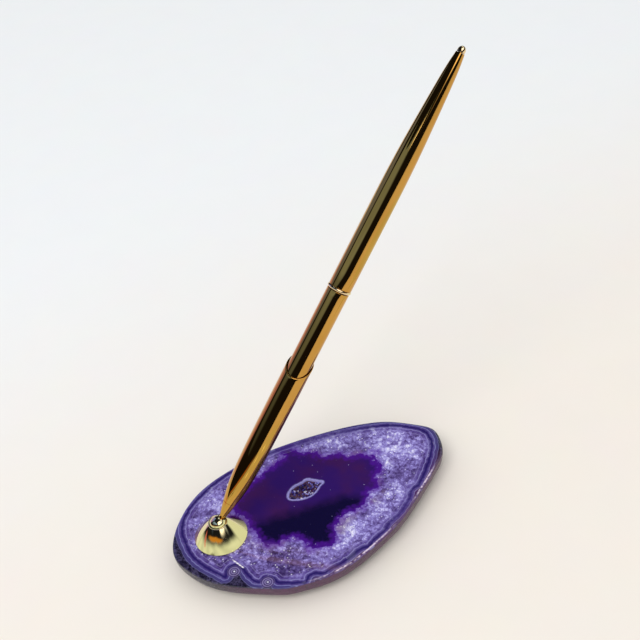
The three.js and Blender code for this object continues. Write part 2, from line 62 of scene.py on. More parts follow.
BALL_HEIGHT = 5.3
BALL_CENTRE = Vector((0, 0, SLAB_TOP + BALL_HEIGHT))
PEN_TILT = math.radians(42.6)
PEN_AZIMUTH = math.radians(12.4)
PEN = (
    Matrix.Translation(BALL_CENTRE)
    @ Matrix.Rotation(PEN_AZIMUTH, 4, "Z")
    @ Matrix.Rotation(PEN_TILT, 4, "Y")
)
HOLDER = Matrix.Translation((0, 0, SLAB_TOP))
SHARP_ANGLE = math.radians(35)


# ---------------------------------------------------------------- curves

# Straight steps between two knots of a closed curve.
CURVE_STEPS = 24
# Points that are measured against an outline at once.
BATCH = 4000


def cubic(points, at):
    """Natural cubic spline through (x, y) points, at the given x values."""
    x, y = np.array(points, float).T
    step = np.diff(x)
    rise = np.diff(y) / step
    count = len(x)
    system, right = np.eye(count), np.zeros(count)
    for i in range(1, count - 1):
        system[i, i - 1:i + 2] = step[i - 1], 2 * (step[i - 1] + step[i]), step[i]
        right[i] = 6 * (rise[i] - rise[i - 1])
    bend = np.linalg.solve(system, right)
    i = np.clip(np.searchsorted(x, at) - 1, 0, count - 2)
    t = at - x[i]
    slope = rise[i] - step[i] * (2 * bend[i] + bend[i + 1]) / 6
    return y[i] + t * slope + t ** 2 * bend[i] / 2 + t ** 3 * (bend[i + 1] - bend[i]) / (6 * step[i])


def closed_curve(points, count):
    """A smooth closed curve through (x, y) points, as count evenly spaced points."""
    knots = np.array(points, float)
    fine = []
    for i in range(len(knots)):
        before, start, end, after = (knots[(i + k) % len(knots)] for k in (-1, 0, 1, 2))
        lead, gap, trail = (np.linalg.norm(d) ** 0.5 for d in (start - before, end - start, after - end))
        chord = (end - start) / gap
        out = ((start - before) / lead - (end - before) / (lead + gap) + chord) * gap
        into = (chord - (after - start) / (gap + trail) + (after - end) / trail) * gap
        for t in np.arange(CURVE_STEPS) / CURVE_STEPS:
            fine.append((2 * t ** 3 - 3 * t ** 2 + 1) * start + (t ** 3 - 2 * t ** 2 + t) * out
                        + (3 * t ** 2 - 2 * t ** 3) * end + (t ** 3 - t ** 2) * into)
    fine = np.array(fine + fine[:1])
    run = np.r_[0, np.cumsum(np.linalg.norm(np.diff(fine, axis=0), axis=1))]
    even = np.linspace(0, run[-1], count, endpoint=False)
    return np.c_[np.interp(even, run, fine[:, 0]), np.interp(even, run, fine[:, 1])]


def distance_to(outline, points):
    """Distance from each point to a closed outline: positive inside, negative outside."""
    start, end = outline, np.roll(outline, -1, axis=0)
    along = end - start
    length = (along ** 2).sum(1)
    result = np.empty(len(points))
    for first in range(0, len(points), BATCH):
        q = points[first:first + BATCH, None, :]
        t = np.clip(((q - start) * along).sum(2) / length, 0, 1)
        gap = np.sqrt((((start + t[..., None] * along) - q) ** 2).sum(2)).min(1)
        x, y = q[:, 0, 0][:, None], q[:, 0, 1][:, None]
        spans = (start[:, 1] > y) != (end[:, 1] > y)
        rise = np.where(along[:, 1] == 0, 1e-12, along[:, 1])
        crosses = spans & (x < start[:, 0] + (y - start[:, 1]) / rise * along[:, 0])
        result[first:first + BATCH] = np.where(crosses.sum(1) % 2 == 1, gap, -gap)
    return result


# ---------------------------------------------------------------- meshes

def place(name, verts, faces, matrix=Matrix(), smooth=True):
    """Makes a mesh object from points in the slice's frame, in millimetres."""
    whole = ROW @ matrix
    mesh = bpy.data.meshes.new(name)
    mesh.from_pydata([whole @ Vector(v) for v in verts], [], faces)
    if smooth:
        mesh.shade_smooth()
        mesh.set_sharp_from_angle(angle=SHARP_ANGLE)
    mesh.update()
    obj = bpy.data.objects.new(name, mesh)
    bpy.context.scene.collection.objects.link(obj)
    return obj


def lathe(name, profile, segments, matrix=Matrix(), reshape=None):
    """Turns (radius, height) points about Z.

    Outer sides run upwards, and a closed profile ends on its first point.
    """
    closed = math.dist(profile[0], profile[-1]) < 1e-9
    rows = profile[:-1] if closed else profile
    verts, rings = [], []
    for radius, height in rows:
        if radius < 1e-6:
            rings.append([len(verts)] * segments)
            verts.append((0, 0, height))
            continue
        rings.append(list(range(len(verts), len(verts) + segments)))
        for k in range(segments):
            angle = 2 * math.pi * k / segments
            verts.append((radius * math.cos(angle), radius * math.sin(angle), height))
    if reshape:
        verts = [reshape(*v) for v in verts]
    pairs = list(zip(rings, rings[1:])) + ([(rings[-1], rings[0])] if closed else [])
    faces = []
    for low, high in pairs:
        for k in range(segments):
            n = (k + 1) % segments
            face = list(dict.fromkeys((low[k], low[n], high[n], high[k])))
            if len(face) > 2:
                faces.append(face)
    return place(name, verts, faces, matrix)


def arc(r, z, radius, start, end, steps):
    """Points of an arc about (r, z), from one angle to another in degrees."""
    angles = np.radians(np.linspace(start, end, steps + 1))
    return [(r + radius * math.cos(a), z + radius * math.sin(a)) for a in angles]


def stands_for(obj, node, body, shader):
    """obj replaces a CAD node and rides on that node's body."""
    obj.data.materials.append(shader)
    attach(obj, body)
    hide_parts(node)
    return obj


# ---------------------------------------------------------------- shaders

class Shader:
    """A material whose nodes are made in a few words: plain values are set, sockets are linked."""

    def __init__(self, name, **values):
        self.material = bpy.data.materials.new(name)
        self.material.use_nodes = True
        self.tree = self.material.node_tree
        self.surface = self.tree.nodes["Principled BSDF"]
        for key, value in values.items():
            self.put(self.surface.inputs[key.replace("_", " ")], value)

    def put(self, socket, value):
        if isinstance(value, bpy.types.NodeSocket):
            self.tree.links.new(value, socket)
        elif socket.type == "RGBA" and len(value) == 3:
            socket.default_value = (*value, 1)
        else:
            socket.default_value = value

    def node(self, kind, inputs=(), **settings):
        made = self.tree.nodes.new("ShaderNode" + kind)
        for key, value in settings.items():
            setattr(made, key, value)
        for key, value in dict(inputs).items():
            self.put(made.inputs[key], value)
        return made

    def paint(self, name, value):
        """Sets or links one of the surface's own sockets."""
        self.put(self.surface.inputs[name], value)

    def math(self, operation, *values):
        made = self.node("Math", operation=operation)
        for socket, value in zip(made.inputs, values):
            self.put(socket, value)
        return made.outputs[0]

    def product(self, first, second):
        return self.math("MULTIPLY", first, second)

    def spread(self, value, by, base):
        """value times by, plus base."""
        return self.math("MULTIPLY_ADD", value, by, base)

    def step(self, value, low, high):
        """Rises smoothly from 0 at low to 1 at high."""
        made = self.node("MapRange", {"Value": value, "From Min": low, "From Max": high},
                         interpolation_type="SMOOTHSTEP")
        return made.outputs["Result"]

    def bump_at(self, value, centre, half):
        """1 at the centre, falling to 0 at half on both sides."""
        away = self.math("ABSOLUTE", self.math("SUBTRACT", value, centre))
        return self.step(away, half, 0.0)

    def mix(self, share, first, second):
        made = self.node("Mix", data_type="RGBA")
        for name, value in (("Factor", share), ("A", first), ("B", second)):
            socket = next(s for s in made.inputs if s.name == name and s.enabled)
            self.put(socket, value)
        return next(s for s in made.outputs if s.enabled)

    def ramp(self, value, stops):
        made = self.node("ValToRGB", {"Fac": value})
        ramp = made.color_ramp
        while len(ramp.elements) < len(stops):
            ramp.elements.new(0.5)
        for element, (at, colour) in zip(ramp.elements, stops):
            element.position = at
            element.color = (*colour, 1)
        return made.outputs["Color"]

    def millimetres(self):
        coordinates = self.node("TexCoord").outputs["Object"]
        return self.node("VectorMath", {0: coordinates, 1: (1 / MM,) * 3}, operation="MULTIPLY").outputs[0]

    def noise(self, at, scale, detail=3.0, roughness=0.5, distortion=0.0):
        return self.node("TexNoise", {
            "Vector": at, "Scale": scale, "Detail": detail,
            "Roughness": roughness, "Distortion": distortion,
        }).outputs["Fac"]

    def cells(self, at, scale, feature="F1", output="Distance"):
        made = self.node("TexVoronoi", {"Vector": at, "Scale": scale}, feature=feature)
        return made.outputs[output]

    def attribute(self, name):
        return self.node("Attribute", attribute_name=name).outputs["Fac"]

    def relief(self, height, strength, distance):
        made = self.node("Bump", {"Height": height, "Strength": strength, "Distance": distance})
        self.put(self.surface.inputs["Normal"], made.outputs["Normal"])


def polished_gold(name, colour, deep, roughness):
    """Mirror-polished plating with faint smears, hairlines and a slow change of tone."""
    s = Shader(name, Metallic=1.0)
    at = s.millimetres()
    s.paint("Base Color", s.mix(s.step(s.noise(at, 0.09), 0.3, 0.7), colour, deep))
    smears = s.step(s.noise(at, 0.22, 5.0, 0.6, 0.8), 0.45, 0.75)
    s.paint("Roughness", s.spread(smears, roughness, roughness * 0.6))
    s.relief(s.noise(at, 3.0, 4.0, 0.7), 0.04, 0.00002)
    return s.material


def turned_metal(name, colour, deep, roughness):
    """Bare metal with fine turning lines and light tarnish."""
    s = Shader(name, Metallic=1.0)
    at = s.millimetres()
    tarnish = s.step(s.noise(at, 0.6, 5.0, 0.65), 0.4, 0.75)
    s.paint("Base Color", s.mix(tarnish, colour, deep))
    lines = s.node("TexWave", {"Vector": at, "Scale": 3.5, "Distortion": 1.5, "Detail": 3.0},
                   bands_direction="DIAGONAL").outputs["Fac"]
    s.paint("Roughness", s.spread(lines, 0.1, roughness))
    s.relief(lines, 0.15, 0.00003)
    return s.material


def moulded(name, colour, deep, roughness, **values):
    """Moulded nylon or rubber: slightly cloudy, with a fine satin grain."""
    s = Shader(name, **values)
    at = s.millimetres()
    s.paint("Base Color", s.mix(s.step(s.noise(at, 0.5, 4.0), 0.3, 0.7), colour, deep))
    grain = s.noise(at, 9.0, 3.0)
    s.paint("Roughness", s.spread(grain, 0.15, roughness))
    s.relief(grain, 0.1, 0.00004)
    return s.material


def quartz_colour(s, at, bent, core):
    """Cells of lilac crystal with white faces, darker gaps and painted glints."""
    big = s.node("SeparateColor", {"Color": s.cells(bent, 0.62, output="Color")}).outputs[0]
    small = s.node("SeparateColor", {"Color": s.cells(bent, 1.5, output="Color")}).outputs[1]
    cloud = s.noise(at, 0.16, 3.0, 0.6)
    tone = s.math("ADD", s.product(big, 0.22), s.product(small, 0.20))
    tone = s.spread(s.step(cloud, 0.30, 0.72), 0.30, tone)
    tone = s.spread(s.step(s.noise(at, 0.75, 6.0, 0.75), 0.30, 0.70), 0.24, tone)
    tone = s.spread(s.attribute("pale"), 0.22, s.math("SUBTRACT", tone, 0.09))
    quartz = s.ramp(tone, [
        (0.08, (0.034, 0.018, 0.095)), (0.25, (0.105, 0.070, 0.240)), (0.41, (0.205, 0.155, 0.460)),
        (0.54, (0.330, 0.280, 0.690)), (0.68, (0.590, 0.560, 0.920)), (0.84, (0.930, 0.920, 1.000)),
    ])
    mauve = s.product(s.step(s.noise(at, 0.13, 2.0), 0.50, 0.66), s.step(core, -6.0, -1.0))
    quartz = s.mix(s.product(mauve, 0.75), quartz, (0.190, 0.115, 0.215))
    edges = s.cells(bent, 0.62, feature="DISTANCE_TO_EDGE")
    quartz = s.mix(s.product(s.step(edges, 0.10, 0.0), 0.35), quartz, (0.100, 0.060, 0.240))
    # Painted glints: small white highlights scattered over the crystal.
    painted_glints = s.product(s.step(s.cells(at, 1.1), 0.30, 0.10), s.step(s.noise(at, 0.35), 0.50, 0.62))
    return s.mix(s.product(painted_glints, 0.85), quartz, (0.95, 0.95, 1.0))


def with_dark_middle(s, at, bent, core, quartz):
    """The dark dyed middle with its vivid, jagged fringe and a few specks, under painted shade that darkens
    it towards the front and the right; its lighter far part is a painted reflection.
    """
    teeth = s.spread(s.cells(bent, 0.55), 2.2, -1.1)
    teeth = s.spread(s.noise(at, 1.3, 2.0), 1.4, s.math("SUBTRACT", teeth, 0.7))
    ragged = s.math("ADD", core, teeth)
    lit = s.mix(s.step(s.noise(at, 0.10, 2.0), 0.35, 0.70), (0.030, 0.008, 0.125), (0.046, 0.010, 0.092))
    # Painted shade: the middle darkens towards the front and the right, leaving a lighter painted reflection
    # at the back.
    painted_shade_share = s.step(s.spread(s.noise(at, 0.3, 4.0), 4.0, s.attribute("shade")), -0.5, 5.5)
    middle = s.mix(painted_shade_share, lit, (0.0055, 0.0035, 0.034))
    middle = s.mix(s.product(s.step(ragged, 2.8, 0.3), 0.80), middle, (0.070, 0.008, 0.270))
    specks = s.product(s.step(s.cells(at, 0.42), 0.085, 0.04), s.step(s.noise(at, 0.7), 0.45, 0.55))
    middle = s.mix(s.product(specks, 0.6), middle, (0.55, 0.50, 0.80))
    stained = s.mix(s.product(s.step(ragged, -2.6, 0.0), 0.62), quartz, (0.130, 0.035, 0.400))
    return s.mix(s.step(ragged, -0.35, 0.25), stained, middle)


# Lines along the band: distance inside its middle line, half width, colour and strength.
BAND_LINES = [
    (2.55, 0.22, (0.330, 0.270, 0.620), 0.45), (1.85, 0.28, (0.100, 0.060, 0.290), 0.55),
    (1.15, 0.26, (0.300, 0.270, 0.580), 0.75), (0.10, 0.95, (0.016, 0.008, 0.105), 0.95),
    (-1.00, 0.22, (0.240, 0.240, 0.520), 0.80), (-1.60, 0.24, (0.070, 0.060, 0.220), 0.50),
    (-2.10, 0.22, (0.210, 0.200, 0.470), 0.45),
]


def with_bands(s, at, colour):
    """Chalcedony lines that follow the band's outline, and the rind outside them."""
    bold = s.attribute("bold")
    waver = s.spread(s.noise(at, 0.55, 2.0), 0.9, s.math("SUBTRACT", s.attribute("band"), 0.45))
    edge = s.mix(s.noise(at, 0.35, 3.0), (0.040, 0.026, 0.150), (0.085, 0.066, 0.235))
    grit = s.step(s.noise(at, 1.1, 5.0, 0.75), 0.42, 0.66)
    speckle = s.mix(grit, (0.007, 0.005, 0.020), (0.070, 0.058, 0.130))
    rind = s.mix(s.product(s.step(waver, -1.4, -2.6), s.step(bold, 0.2, 0.9)), edge, speckle)
    wine = s.mix(s.noise(at, 0.5, 4.0), (0.028, 0.006, 0.050), (0.150, 0.040, 0.150))
    rind = s.mix(s.product(s.attribute("wine"), 0.85), rind, wine)
    colour = s.mix(s.product(s.step(waver, 3.2, 0.2), 0.75), colour, (0.080, 0.048, 0.240))
    colour = s.mix(s.step(waver, -0.5, -1.1), colour, rind)
    for centre, half, tint, share in BAND_LINES:
        strength = s.product(s.bump_at(waver, centre, half), s.product(bold, share))
        colour = s.mix(strength, colour, tint)
    return colour


def with_eyes_and_painted_streak(s, colour):
    """Two small eyes of agate near the rim, and a short white streak: a painted reflection on the polished
    top.
    """
    swirl = s.attribute("swirl")
    rings = s.math("SINE", s.product(swirl, 9.0))
    ringed = s.mix(s.step(rings, -0.4, 0.5), (0.060, 0.035, 0.130), (0.260, 0.210, 0.420))
    colour = s.mix(s.product(s.step(swirl, 2.5, 1.7), 0.75), colour, ringed)
    colour = s.mix(s.step(swirl, 0.45, 0.25), colour, (0.75, 0.75, 0.90))
    # Painted reflection: the short white streak.
    return s.mix(s.step(s.attribute("streak"), 0.34, 0.10), colour, (0.95, 0.90, 0.97))


def with_painted_edge_highlight(s, at, colour):
    """A painted highlight along the worn top edge at the front."""
    glare = s.product(s.bump_at(s.attribute("rim"), 0.55, 0.45), s.attribute("glare"))
    glare = s.product(glare, s.step(s.noise(at, 0.8, 3.0), 0.35, 0.60))
    return s.mix(glare, colour, (0.85, 0.70, 0.86))


def with_pocket(s, at, colour):
    """The pocket's lilac line and its dark inside."""
    pocket = s.attribute("pocket")
    inside = s.step(pocket, -0.10, 0.15)
    line = s.bump_at(s.spread(s.noise(at, 1.6), 0.5, s.math("SUBTRACT", pocket, 0.25)), -0.10, 0.75)
    druse = s.mix(s.noise(at, 1.7, 4.0, 0.7), (0.020, 0.010, 0.090), (0.230, 0.190, 0.470))
    colour = s.mix(inside, colour, druse)
    return s.mix(s.product(line, 0.85), colour, (0.400, 0.370, 0.790))


def side_colour(s, at):
    """The sawn side: wine red with dark patches, and grey grit at the near end."""
    side = s.mix(s.noise(at, 0.30, 4.0, 0.65), (0.036, 0.007, 0.042), (0.115, 0.024, 0.092))
    side = s.mix(s.step(s.noise(at, 0.9, 5.0, 0.75), 0.50, 0.68), side, (0.022, 0.010, 0.034))
    grit = s.step(s.noise(at, 1.2, 5.0, 0.75), 0.45, 0.66)
    grey = s.mix(grit, (0.010, 0.008, 0.024), (0.090, 0.080, 0.140))
    return s.mix(s.attribute("grey"), side, grey)


def dyed_agate():
    """Dyed agate, coloured by distances to the outlines that the slice's mesh carries."""
    s = Shader("dyed_agate", Specular_IOR_Level=0.5, IOR=1.54)
    at = s.millimetres()
    shift = s.node("TexNoise", {"Vector": at, "Scale": 0.5}).outputs["Color"]
    bent = s.node("VectorMath", {0: at, 1: shift}, operation="ADD").outputs[0]
    core = s.attribute("core")
    wall = s.step(s.attribute("drop"), 0.30, 0.75)

    colour = quartz_colour(s, at, bent, core)
    colour = with_dark_middle(s, at, bent, core, colour)
    colour = with_bands(s, at, colour)
    colour = with_eyes_and_painted_streak(s, colour)
    colour = with_painted_edge_highlight(s, at, colour)
    colour = with_pocket(s, at, colour)
    s.paint("Base Color", s.mix(wall, colour, side_colour(s, at)))
    wear = s.spread(s.noise(at, 1.5, 4.0), 0.05, 0.05)
    s.paint("Roughness", s.spread(wall, 0.22, wear))
    s.relief(s.product(s.noise(at, 2.2, 5.0, 0.7), wall), 0.5, 0.0003)
    return s.material


def crystal():
    """Small quartz points, each with its own tone."""
    s = Shader("amethyst_points", Roughness=0.12, IOR=1.45, Specular_IOR_Level=0.25)
    tone = s.math("SUBTRACT", s.attribute("tone"), 0.15)
    flaw = s.noise(s.millimetres(), 4.0, 3.0)
    s.paint("Base Color", s.ramp(s.spread(flaw, 0.3, tone), [
        (0.0, (0.012, 0.006, 0.060)), (0.5, (0.070, 0.050, 0.300)), (0.8, (0.300, 0.270, 0.700)),
        (1.0, (0.900, 0.880, 1.000)),
    ]))
    return s.material


GOLD = polished_gold("gold_plate", (0.60, 0.325, 0.070), (0.56, 0.295, 0.060), 0.05)
PALE_GOLD = polished_gold("pale_gold_plate", (0.84, 0.76, 0.45), (0.80, 0.70, 0.40), 0.06)
# A lighter copy of the gold plate for the ring and the tail cap, standing in for their highlights: painted
# highlight.
HIGHLIGHT_GOLD = polished_gold("painted_highlight_plate", (0.88, 0.70, 0.42), (0.84, 0.64, 0.36), 0.10)
BRASS = turned_metal("bare_brass", (0.60, 0.43, 0.17), (0.40, 0.26, 0.09), 0.25)
STEEL = turned_metal("plain_steel", (0.56, 0.57, 0.58), (0.38, 0.38, 0.39), 0.22)
NYLON = moulded("natural_nylon", (0.80, 0.78, 0.70), (0.72, 0.70, 0.62), 0.40)
RUBBER = moulded("clear_rubber", (0.62, 0.66, 0.68), (0.52, 0.56, 0.58), 0.25, Coat_Weight=0.3)
AGATE = dyed_agate()
CRYSTAL = crystal()


# ---------------------------------------------------------------- the slice

SLICE_SEGMENTS = 480
UNDERSIDE_RINGS = (0.001, 0.15, 0.4, 0.7, 0.9)
TOP_RINGS = 72
POCKET_RINGS = 12
OUTLINE_POINTS = 500
POCKET_POINTS = 400
RIM = [
    (-16.1, -1.6), (-15.4, 3.4), (-11.8, 10.2), (-5.0, 17.4), (2.4, 21.8), (12.4, 24.6), (23.5, 25.9),
    (34.6, 25.5), (46.0, 24.0), (57.0, 21.6), (66.6, 17.8), (74.6, 11.4), (78.3, 7.4), (79.1, 4.6),
    (78.3, -0.6), (76.4, -4.8), (71.4, -9.2), (61.6, -16.6), (51.5, -23.3), (41.2, -27.7), (31.0, -30.8),
    (23.0, -31.4), (15.4, -30.3), (10.3, -29.1), (5.2, -26.3), (-4.8, -19.6), (-10.6, -13.8), (-14.5, -7.0),
]
# The dark agate band's middle line.
BAND = [
    (-11.3, 0.5), (-11.2, 4.0), (-10.6, 8.0), (-8.6, 12.2), (-4.6, 16.2), (0.2, 19.1), (6.0, 21.8),
    (12.0, 23.4), (20.0, 24.3), (28.0, 24.6), (36.0, 24.0), (45.0, 22.6), (54.0, 20.4), (62.0, 17.8),
    (68.0, 14.8), (72.6, 11.0), (75.6, 7.6), (76.3, 4.4), (75.2, 0.2), (72.4, -4.0), (69.2, -7.6),
    (66.2, -10.6), (63.6, -13.0), (60.6, -14.0), (58.4, -16.6), (56.0, -18.6), (52.6, -20.8),
    (48.6, -22.4), (44.6, -24.8), (41.0, -26.0), (39.0, -27.4), (36.4, -27.0), (33.8, -27.8),
    (30.6, -28.8), (26.0, -29.3), (22.0, -29.6), (20.2, -28.4), (18.0, -28.6), (16.4, -30.0),
    (13.4, -28.8), (11.0, -27.4), (8.6, -26.0), (7.8, -23.4), (5.8, -22.2), (4.2, -23.2), (2.7, -22.0),
    (1.7, -19.0), (1.1, -15.6), (-0.6, -13.2), (-2.8, -13.6), (-4.6, -16.2), (-6.0, -14.2),
    (-8.2, -10.4), (-10.2, -6.2), (-11.2, -2.6),
]
# The dark dyed middle.
CORE = [
    (7.5, 9.5), (11.0, 12.5), (16.0, 15.5), (20.0, 16.6), (22.0, 18.0), (25.0, 18.5), (28.0, 19.3),
    (30.2, 20.6), (30.7, 23.0), (31.6, 24.6), (33.6, 24.6), (34.4, 22.6), (34.9, 20.6), (37.0, 19.0),
    (39.5, 17.5), (41.2, 14.8), (43.2, 13.2), (45.6, 13.0), (47.6, 11.3), (49.2, 9.3), (51.6, 9.1),
    (53.6, 7.5), (55.0, 6.4), (57.8, 6.8), (56.4, 5.0), (55.6, 2.8), (56.4, 1.0), (55.4, -1.0),
    (53.2, -2.6), (52.6, -5.0), (51.4, -7.4), (48.2, -7.6), (46.6, -9.2), (45.4, -11.2), (43.2, -12.1),
    (40.6, -12.2), (38.6, -11.6), (36.6, -12.4), (34.6, -13.8), (32.8, -15.0), (31.7, -17.4),
    (30.6, -20.0), (28.4, -21.0), (26.0, -20.2), (24.0, -19.4), (22.4, -19.6), (22.7, -17.0),
    (21.4, -14.0), (19.4, -12.2), (17.4, -11.8), (15.0, -12.1), (12.6, -11.5), (10.8, -10.0),
    (10.2, -7.0), (9.7, -3.0), (9.5, 0.0), (8.8, 4.0), (7.3, 7.0),
]
# The open crystal pocket.
POCKET = [
    (24.7, 3.2), (25.6, 5.2), (28.0, 6.8), (31.0, 7.1), (33.0, 7.5), (34.5, 6.3), (36.0, 4.9), (37.0, 3.9),
    (35.2, 2.8), (33.3, 1.3), (31.0, 0.5), (28.5, 0.7), (26.6, 1.4), (25.2, 2.3),
]
POCKET_CENTRE = np.array([30.6, 3.9])
POCKET_DEPTH = 2.5
SWIRLS = [(-1.5, -15.4), (6.1, -24.3)]
# Ends of the short white streak, a painted reflection on the polished top.
REFLECTED_STREAK = np.array([(-0.3, -11.0), (1.6, -15.6)])
# From the underside up: distance inside the rim, and height.
SIDE = [
    (0.80, 0.0), (0.62, 0.25), (0.45, 0.65), (0.30, 1.2), (0.14, 1.9), (0.05, 2.6), (0.0, 3.4), (0.0, 4.05),
    (0.03, 4.22), (0.10, 4.36), (0.20, 4.46), (0.35, 4.5),
]
EDGE_WEAR = 0.22
STUD_HOLE_R = 1.75
DRILL_SIDES = 64
# Where the painted highlight along the front edge lies: x and reach.
GLARES = [(33.5, 14.0), (65.2, 5.5)]
# Patches of quartz, paler where the strength is positive: middle, reach and strength.
PALE_PATCHES = [
    ((62, 6), (8, 9), 0.9), ((36, -21), (9, 4.5), 0.9), ((52, -14), (7, 5), 0.5), ((46, 18), (12, 4), 0.5),
    ((0, 11), (7, 6), 0.3), ((12, -20), (9, 6), -0.9), ((25, -26), (8, 3), -0.4), ((-4, -8), (5, 6), -0.7),
    ((70, -4), (5, 6), -0.3), ((24, 21), (10, 3), -0.3),
]


def drawn_in(outline, inset):
    """The outline moved inwards. It runs clockwise."""
    along = np.roll(outline, -1, axis=0) - np.roll(outline, 1, axis=0)
    along /= np.linalg.norm(along, axis=1)[:, None]
    return outline + np.c_[along[:, 1], -along[:, 0]] * np.reshape(inset, (-1, 1))


def rough(point, scale, seed):
    """Smooth noise from 0 to 1."""
    return 0.5 + 0.5 * noise.noise(Vector((point[0] * scale, point[1] * scale, seed)))


def at_height(ring, height):
    return np.c_[ring, np.full(len(ring), height)]


def pocket_rays(rim, pocket):
    """Directions from the pocket's centre to the rim's points, and the pocket's reach along them."""
    outwards = pocket - POCKET_CENTRE
    pocket_angles = np.arctan2(*outwards.T[::-1])
    order = np.argsort(pocket_angles)
    reach = np.linalg.norm(outwards, axis=1)
    angles = np.arctan2(*(rim - POCKET_CENTRE).T[::-1])
    mouth_r = np.interp(angles, pocket_angles[order], reach[order], period=2 * math.pi)
    return np.c_[np.cos(angles), np.sin(angles)], mouth_r


def slice_rings(rim, pocket):
    """Closed rings of points: underside, side, top, then down into the pocket."""
    rays, mouth_r = pocket_rays(rim, pocket)
    mouth = POCKET_CENTRE + rays * mouth_r[:, None]
    foot = drawn_in(rim, SIDE[0][0])
    rings = [at_height(POCKET_CENTRE + (foot - POCKET_CENTRE) * share, 0.0) for share in UNDERSIDE_RINGS]
    for inset, height in SIDE:
        bulge = math.sin(math.pi * height / SLAB_THICKNESS)
        worn = [inset + EDGE_WEAR * rough(p, 0.5, 3.0 + height) * bulge for p in rim]
        rings.append(at_height(drawn_in(rim, worn), height))
    top = drawn_in(rim, SIDE[-1][0])
    for share in np.linspace(0, 1, TOP_RINGS)[1:]:
        rings.append(at_height(top + (mouth - top) * share, SLAB_THICKNESS))
    for share in np.linspace(1, 0, POCKET_RINGS)[1:]:
        ring = POCKET_CENTRE + rays * (mouth_r * max(share, 0.002))[:, None]
        sink = POCKET_DEPTH * math.sqrt(1 - share ** 2)
        ragged = [SLAB_THICKNESS - sink * (0.8 + 0.4 * rough(p, 1.8, 9.0)) for p in ring]
        rings.append(np.c_[ring, np.clip(ragged, SLAB_THICKNESS - 1.25 * POCKET_DEPTH, None)])
    return rings


def agate_slice():
    rim = closed_curve(RIM, SLICE_SEGMENTS)
    pocket = closed_curve(POCKET, POCKET_POINTS)
    rings = slice_rings(rim, pocket)
    verts = np.vstack(rings)
    verts[:, 2] += SLAB_BOTTOM
    last = len(verts) - SLICE_SEGMENTS
    faces = []
    for row in range(0, last, SLICE_SEGMENTS):
        for k in range(SLICE_SEGMENTS):
            a, b = row + k, row + (k + 1) % SLICE_SEGMENTS
            faces.append((a, b, b + SLICE_SEGMENTS, a + SLICE_SEGMENTS))
    faces.append(list(range(SLICE_SEGMENTS))[::-1])
    faces.append(list(range(last, last + SLICE_SEGMENTS)))
    slab = place("agate", verts.tolist(), faces)
    drill_top = 2 * SLAB_TOP
    drill = lathe("drill", [(0, 0), (STUD_HOLE_R, 0), (STUD_HOLE_R, drill_top), (0, drill_top)], DRILL_SIDES)
    bore(slab, drill)
    mark(slab, rim, pocket)
    return slab


def bore(obj, drill):
    """Cuts the drill out of obj and removes the drill."""
    cut = obj.modifiers.new("bore", "BOOLEAN")
    cut.object = drill
    cut.operation = "DIFFERENCE"
    cut.solver = "EXACT"
    depsgraph = bpy.context.evaluated_depsgraph_get()
    mesh = bpy.data.meshes.new_from_object(obj.evaluated_get(depsgraph))
    obj.modifiers.clear()
    obj.data = mesh
    bpy.data.objects.remove(drill)


def hill(xy, centre, reach):
    """1 at the centre, falling smoothly away over the reach in x and in y."""
    return np.exp(-(((xy - np.array(centre)) / np.array(reach)) ** 2).sum(1))


def mark(slab, rim, pocket):
    """Stores on each vertex how far it lies from the outlines that the agate's colours follow, and where
    painted shade, a painted highlight and a painted reflection go.
    """
    mesh = slab.data
    flat = np.empty(len(mesh.vertices) * 3)
    mesh.vertices.foreach_get("co", flat)
    points = flat.reshape(-1, 3) / MM - np.array([AXIS_X, AXIS_Y, 0]) / MM
    xy = points[:, :2]
    x, y = xy[:, 0], xy[:, 1]
    drop = SLAB_TOP - points[:, 2]
    streak_run = REFLECTED_STREAK[1] - REFLECTED_STREAK[0]
    share = np.clip(((xy - REFLECTED_STREAK[0]) @ streak_run) / (streak_run @ streak_run), 0, 1)
    shine = sum(np.exp(-(((x - middle) / reach) ** 4)) for middle, reach in GLARES)
    faint_band = 0.65 * hill(xy, (42.0, 23.0), (17.0, 6.0))
    dim_band = 0.45 * hill(xy, (54.0, -20.0), (13.0, 7.0))
    values = {
        "band": distance_to(closed_curve(BAND, OUTLINE_POINTS), xy),
        "core": distance_to(closed_curve(CORE, OUTLINE_POINTS), xy),
        "pocket": np.where(drop > 3.0, -5.0, distance_to(pocket, xy)),
        "rim": distance_to(rim, xy),
        "drop": drop,
        # Painted shade across the dark middle, growing towards the front and the right.
        "shade": -0.6 - 0.13 * (x - 10) - y - np.clip(x - 40, 0, None) * 0.5,
        "bold": 1 - faint_band - dim_band,
        "swirl": np.min([np.linalg.norm(xy - np.array(eye), axis=1) for eye in SWIRLS], axis=0),
        # Distance to the white streak, a painted reflection.
        "streak": np.linalg.norm(xy - (REFLECTED_STREAK[0] + share[:, None] * streak_run), axis=1),
        "pale": sum(strength * hill(xy, spot, reach) for spot, reach, strength in PALE_PATCHES),
        "wine": np.clip((x - 12) / 14, 0, 1) * np.clip((-y - 1) / 10, 0, 1),
        # Where the painted edge highlight goes.
        "glare": np.where(y < -5, shine, 0),
        "grey": np.clip((8 - x + 0.3 * y) / 12, 0, 1),
    }
    for name, numbers in values.items():
        layer = mesh.attributes.new(name, "FLOAT", "POINT")
        layer.data.foreach_set("value", numbers.astype(np.float32))


CRYSTAL_COUNT = 150
CRYSTAL_SEED = 7
CRYSTAL_SHOULDER = 0.55
CRYSTAL_POINTS = 13
HEXAGON = [(math.cos(k * math.pi / 3), math.sin(k * math.pi / 3)) for k in range(6)]


